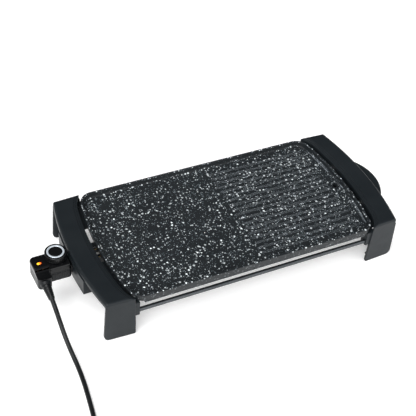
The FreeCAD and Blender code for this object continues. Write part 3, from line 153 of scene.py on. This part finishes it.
class Mat:
    """A node material built up in steps. Sizes are in metres of object space."""

    def __init__(self, name, bevel=0.0):
        self.m = bpy.data.materials.new(name)
        self.m.use_nodes = True
        self.t = self.m.node_tree
        self.b = self.t.nodes["Principled BSDF"]
        self.co = self.n("ShaderNodeTexCoord").outputs["Object"]
        self.normal = None
        if bevel:
            bv = self.n("ShaderNodeBevel")
            bv.samples = 6
            bv.inputs["Radius"].default_value = bevel
            self.normal = bv.outputs["Normal"]
            self.link(self.normal, self.b.inputs["Normal"])

    def n(self, kind, **kw):
        node = self.t.nodes.new(kind)
        for k, v in kw.items():
            setattr(node, k, v)
        return node

    def link(self, a, b):
        self.t.links.new(a, b)

    def put(self, **kw):
        for k, v in kw.items():
            self.b.inputs[k.replace("_", " ")].default_value = v
        return self

    def noise(self, scale, detail=3.0, rough=0.55, stretch=None, distort=0.0):
        n = self.n("ShaderNodeTexNoise")
        n.inputs["Scale"].default_value = scale
        n.inputs["Detail"].default_value = detail
        n.inputs["Roughness"].default_value = rough
        n.inputs["Distortion"].default_value = distort
        co = self.co
        if stretch:
            mp = self.n("ShaderNodeMapping")
            mp.inputs["Scale"].default_value = stretch
            self.link(self.co, mp.inputs["Vector"])
            co = mp.outputs["Vector"]
        self.link(co, n.inputs["Vector"])
        return n.outputs["Fac"]

    def ramp(self, fac, stops, interp="LINEAR"):
        r = self.n("ShaderNodeValToRGB")
        r.color_ramp.interpolation = interp
        els = r.color_ramp.elements
        while len(els) < len(stops):
            els.new(0.5)
        for e, (pos, col) in zip(els, stops):
            e.position = pos
            e.color = col if hasattr(col, "__len__") else (col, col, col, 1)
        self.link(fac, r.inputs["Fac"])
        return r.outputs["Color"]

    def range(self, fac, a, b, lo=0.0, hi=1.0):
        r = self.n("ShaderNodeMapRange")
        r.inputs["From Min"].default_value = a
        r.inputs["From Max"].default_value = b
        r.inputs["To Min"].default_value = lo
        r.inputs["To Max"].default_value = hi
        self.link(fac, r.inputs["Value"])
        return r.outputs["Result"]

    def math(self, op, a, b=None):
        m = self.n("ShaderNodeMath", operation=op)
        for i, v in enumerate((a, b)):
            if v is None:
                continue
            if isinstance(v, (int, float)):
                m.inputs[i].default_value = v
            else:
                self.link(v, m.inputs[i])
        return m.outputs[0]

    def mix(self, fac, a, b):
        m = self.n("ShaderNodeMix", data_type="RGBA")
        if isinstance(fac, (int, float)):
            m.inputs[0].default_value = fac
        else:
            self.link(fac, m.inputs[0])
        for i, v in ((6, a), (7, b)):
            if hasattr(v, "__len__"):
                m.inputs[i].default_value = v if len(v) == 4 else (*v, 1)
            else:
                self.link(v, m.inputs[i])
        return m.outputs[2]

    def color(self, socket):
        self.link(socket, self.b.inputs["Base Color"])
        return self

    def rough(self, socket):
        self.link(socket, self.b.inputs["Roughness"])
        return self

    def bump(self, height, strength, distance):
        b = self.n("ShaderNodeBump")
        b.inputs["Strength"].default_value = strength
        b.inputs["Distance"].default_value = distance
        self.link(height, b.inputs["Height"])
        if self.normal is not None:
            self.link(self.normal, b.inputs["Normal"])
        self.normal = b.outputs["Normal"]
        self.link(self.normal, self.b.inputs["Normal"])
        return self


def plastic(name, dark, light, r0, r1, grain=1400.0, grain_h=0.00004, grain_s=0.25, bevel=0.0006, spec=0.5):
    m = Mat(name, bevel)
    cloud = m.noise(14.0, 4.0)
    fine = m.noise(grain, 2.0, 0.6)
    m.color(m.mix(m.range(cloud, 0.3, 0.7), dark, light))
    m.rough(m.range(m.noise(60.0, 4.0, 0.6), 0.3, 0.7, r0, r1))
    m.bump(fine, grain_s, grain_h)
    m.bump(m.noise(55.0, 2.0), 0.08, 0.0004)
    m.put(Specular_IOR_Level=spec)
    return m.m


def metal(name, dark, light, r0, r1, stretch=(1, 1, 1), scale=220.0, aniso=0.0, bevel=0.0003, metallic=1.0):
    m = Mat(name, bevel)
    line = m.noise(scale, 4.0, 0.65, stretch)
    cloud = m.noise(24.0, 3.0)
    m.color(m.mix(m.range(cloud, 0.3, 0.7), dark, light))
    m.rough(m.range(line, 0.3, 0.7, r0, r1))
    m.bump(line, 0.12, 0.00005)
    m.put(Metallic=metallic)
    return m.m


# ---------------------------------------------------------------- the materials


def stone_coating():
    m = Mat("stone_coating", 0.0008)
    base = m.mix(m.range(m.noise(9.0, 4.0), 0.3, 0.7), (0.0064, 0.0085, 0.0102), (0.0094, 0.0120, 0.0140))
    geo = m.n("ShaderNodeNewGeometry")
    # painted highlight: the crests of the ribs, and more faintly the rim, are lightened where the bevelled normal
    # turns from the true normal
    turn = m.n("ShaderNodeVectorMath", operation="DOT_PRODUCT")
    m.link(m.normal, turn.inputs[0])
    m.link(geo.outputs["True Normal"], turn.inputs[1])
    height_up = m.n("ShaderNodeSeparateXYZ")
    m.link(m.n("ShaderNodeTexCoord").outputs["Generated"], height_up.inputs[0])
    ribs_only = m.range(height_up.outputs["Z"], 0.68, 0.72, 1.0, 0.22)
    painted_crest_highlight = m.math("MULTIPLY", m.range(turn.outputs["Value"], 0.985, 0.86, 0.0, 0.95), ribs_only)
    col = m.mix(painted_crest_highlight, base, (0.23, 0.26, 0.285))
    # the speckle fades on faces that turn away from straight up
    facing = m.n("ShaderNodeSeparateXYZ")
    m.link(geo.outputs["True Normal"], facing.inputs[0])
    up_facing = m.range(facing.outputs["Z"], 0.15, 0.7, 0.12, 1.0)
    height = None
    # three sizes of speckle: each cell of a Voronoi pattern may hold one irregular dot
    for scale, keep, size, tint, blend in (
        (150.0, 0.44, 0.32, (0.90, 0.97, 1.0), 1.0),
        (265.0, 0.30, 0.38, (0.86, 0.94, 0.98), 1.0),
        (560.0, 0.22, 0.44, (0.34, 0.40, 0.44), 0.9),
    ):
        wob = m.n("ShaderNodeTexNoise")
        wob.inputs["Scale"].default_value = scale * 2.3
        wob.inputs["Detail"].default_value = 2.0
        m.link(m.co, wob.inputs["Vector"])
        amount = m.n("ShaderNodeVectorMath", operation="SCALE")
        amount.inputs["Scale"].default_value = 0.42 / scale
        m.link(wob.outputs["Color"], amount.inputs[0])
        add = m.n("ShaderNodeVectorMath", operation="ADD")
        m.link(m.co, add.inputs[0])
        m.link(amount.outputs[0], add.inputs[1])
        v = m.n("ShaderNodeTexVoronoi")
        v.inputs["Scale"].default_value = scale
        m.link(add.outputs[0], v.inputs["Vector"])
        sep = m.n("ShaderNodeSeparateColor")
        m.link(v.outputs["Color"], sep.inputs["Color"])
        here = m.math("LESS_THAN", sep.outputs["Red"], keep)
        radius = m.range(sep.outputs["Green"], 0.0, 1.0, size * 0.35, size)
        dot = m.math("LESS_THAN", v.outputs["Distance"], radius)
        mask = m.math("MULTIPLY", m.math("MULTIPLY", here, dot), m.math("MULTIPLY", up_facing, m.range(sep.outputs["Blue"], 0.0, 1.0, 0.45 * blend, blend)))
        col = m.mix(mask, col, tint)
        height = mask if height is None else m.math("MAXIMUM", height, mask)
    m.color(col)
    m.rough(m.range(m.noise(120.0, 4.0), 0.3, 0.7, 0.40, 0.56))
    m.bump(m.noise(700.0, 3.0), 0.25, 0.00008)
    m.bump(height, 0.10, 0.00005)
    m.put(Specular_IOR_Level=0.28)
    return m.m


def lens():
    m = Mat("amber_lens", 0.0003)
    gen = m.n("ShaderNodeTexCoord").outputs["Generated"]
    across = m.n("ShaderNodeSeparateXYZ")
    m.link(gen, across.inputs[0])
    place = m.math("ADD", across.outputs["X"], m.math("MULTIPLY", m.noise(260.0, 2.0), 0.25))
    glow = m.ramp(place, [(0.15, (0.90, 0.30, 0.01, 1)), (0.42, (1.0, 0.62, 0.03, 1)), (0.70, (1.0, 0.22, 0.01, 1)), (1.0, (0.55, 0.05, 0.005, 1))])
    m.color(glow)
    m.link(glow, m.b.inputs["Emission Color"])
    m.put(Emission_Strength=0.75, Roughness=0.14)
    m.bump(m.noise(500.0), 0.05, 0.0001)
    return m.m


def cord_rubber():
    m = Mat("cord_rubber", 0.0003)
    m.color(m.mix(m.range(m.noise(40.0, 3.0), 0.3, 0.7), (0.0030, 0.0036, 0.0042), (0.0060, 0.0068, 0.0076)))
    m.rough(m.range(m.noise(180.0, 4.0), 0.3, 0.7, 0.26, 0.38))
    m.put(Specular_IOR_Level=0.28)
    m.bump(m.noise(1500.0, 2.0), 0.18, 0.00005)
    return m.m


MATS = {
    "stand_plastic": plastic("stand_plastic", (0.0080, 0.0106, 0.0128), (0.0110, 0.0140, 0.0164), 0.34, 0.44, 1500.0, 0.00005, 0.35, 0.0016, 0.21),
    "rod_steel": metal("rod_steel", (0.045, 0.050, 0.054), (0.070, 0.076, 0.082), 0.22, 0.34, (0.05, 1, 1), 900.0, metallic=0.8),
    "zinc_steel": metal("zinc_steel", (0.45, 0.45, 0.43), (0.62, 0.62, 0.60), 0.30, 0.45, (1, 1, 1), 400.0),
    "foot_rubber": plastic("foot_rubber", (0.018, 0.018, 0.018), (0.03, 0.03, 0.03), 0.6, 0.75, 900.0, 0.0001, 0.4, 0.0003, 0.3),
    "stone_coating": stone_coating(),
    "element_sheath": metal("element_sheath", (0.07, 0.065, 0.06), (0.17, 0.15, 0.13), 0.4, 0.6, (1, 1, 1), 300.0),
    "pin_steel": metal("pin_steel", (0.62, 0.61, 0.58), (0.74, 0.73, 0.70), 0.14, 0.26, (0.1, 1, 1), 900.0),
    "ceramic": plastic("ceramic", (0.66, 0.62, 0.55), (0.78, 0.75, 0.68), 0.55, 0.7, 800.0, 0.0001, 0.3, 0.0003, 0.4),
    "thermostat_plastic": plastic("thermostat_plastic", (0.0022, 0.0024, 0.0028), (0.0040, 0.0043, 0.0048), 0.10, 0.18, 1800.0, 0.00002, 0.12, 0.0009, 0.26),
    "thermostat_satin": plastic("thermostat_satin", (0.0036, 0.0046, 0.0056), (0.0060, 0.0072, 0.0084), 0.30, 0.42, 1400.0, 0.00004, 0.25, 0.0006, 0.28),
    "nose_plastic": plastic("nose_plastic", (0.016, 0.016, 0.017), (0.026, 0.026, 0.027), 0.5, 0.65, 1200.0, 0.00006, 0.4, 0.0004, 0.4),
    "contact_brass": metal("contact_brass", (0.55, 0.40, 0.17), (0.72, 0.55, 0.26), 0.25, 0.4, (1, 1, 1), 500.0),
    "probe_steel": metal("probe_steel", (0.48, 0.48, 0.46), (0.62, 0.62, 0.60), 0.26, 0.4, (0.1, 1, 1), 900.0),
    "lamp_glass": plastic("lamp_glass", (0.85, 0.6, 0.4), (0.95, 0.72, 0.5), 0.08, 0.15, 500.0, 0.00002, 0.1, 0.0002, 0.5),
    "amber_lens": lens(),
    "wire_sleeve": plastic("wire_sleeve", (0.24, 0.12, 0.06), (0.34, 0.18, 0.09), 0.4, 0.55, 900.0, 0.00004, 0.2, 0.0, 0.5),
    "cord_rubber": cord_rubber(),
    "tie_plastic": plastic("tie_plastic", (0.02, 0.02, 0.02), (0.035, 0.035, 0.035), 0.4, 0.5, 900.0, 0.00004, 0.2, 0.0003, 0.5),
    "knob_plastic": plastic("knob_plastic", (0.0022, 0.0024, 0.0028), (0.0040, 0.0043, 0.0048), 0.14, 0.22, 1800.0, 0.00002, 0.12, 0.0005, 0.32),
    # ring_chrome: painted reflection, a light grey diffuse colour at metallic 0.45 keeps the chrome ring bright under
    # the dark studio above
    "ring_chrome": metal("ring_chrome", (0.56, 0.62, 0.68), (0.68, 0.74, 0.80), 0.22, 0.32, (1, 1, 1), 700.0, metallic=0.45),
}

slots = {}
for sub in frame["record"]["subparts"]:
    slots[sub["node"]] = sub["material_slot"]
for name, ob in nodes.items():
    ob.data.materials.clear()
    ob.data.materials.append(MATS[slots[name]])
cord.data.materials.append(MATS["cord_rubber"])

# ---------------------------------------------------------------- floor and light

me = bpy.data.meshes.new("floor")
me.from_pydata([(-6, -6, -0.0004), (6, -6, -0.0004), (6, 6, -0.0004), (-6, 6, -0.0004)], [], [(0, 1, 2, 3)])
floor = bpy.data.objects.new("floor", me)
scene.collection.objects.link(floor)
fm = Mat("floor_paper")
fm.color(fm.mix(fm.range(fm.noise(3.0, 3.0), 0.3, 0.7), (0.88, 0.88, 0.88), (0.91, 0.91, 0.91)))
fm.put(Roughness=0.85, Specular_IOR_Level=0.1, Emission_Color=(1, 1, 1, 1), Emission_Strength=0.22)
fm.bump(fm.noise(300.0), 0.03, 0.0001)
floor.data.materials.append(fm.m)

world = bpy.data.worlds.new("world")
scene.world = world
world.use_nodes = True
wt = world.node_tree
bg = wt.nodes["Background"]
# a studio that is bright low down and towards the front left, and dark above and behind the griddle
tc = wt.nodes.new("ShaderNodeTexCoord")
dot = wt.nodes.new("ShaderNodeVectorMath")
dot.operation = "DOT_PRODUCT"
dot.inputs[1].default_value = (0.36, 0.62, 0.70)
wt.links.new(tc.outputs["Generated"], dot.inputs[0])
mr = wt.nodes.new("ShaderNodeMapRange")
mr.interpolation_type = "SMOOTHSTEP"
mr.inputs["From Min"].default_value = -0.15
mr.inputs["From Max"].default_value = 0.80
mr.inputs["To Min"].default_value = 0.85
mr.inputs["To Max"].default_value = 0.10
wt.links.new(dot.outputs["Value"], mr.inputs["Value"])
bg.inputs["Color"].default_value = (1, 1, 1, 1)
wt.links.new(mr.outputs["Result"], bg.inputs["Strength"])


def sun(name, toward, strength, angle):
    ld = bpy.data.lights.new(name, "SUN")
    ld.energy = strength
    ld.angle = math.radians(angle)
    ob = bpy.data.objects.new(name, ld)
    ob.rotation_euler = (-Vector(toward)).to_track_quat("-Z", "Y").to_euler()
    scene.collection.objects.link(ob)
    return ob


sun("key", (-0.62, -0.62, 0.62), 2.35, 44)
sun("fill", (0.45, -0.70, 0.40), 1.25, 60)
sun("top", (-0.35, 0.10, 1.0), 1.65, 40)

scene.view_settings.view_transform = "Standard"
scene.view_settings.look = "None"
scene.view_settings.exposure = 0.0
scene.view_settings.gamma = 1.0

# ---------------------------------------------------------------- end

bpy.context.view_layer.update()
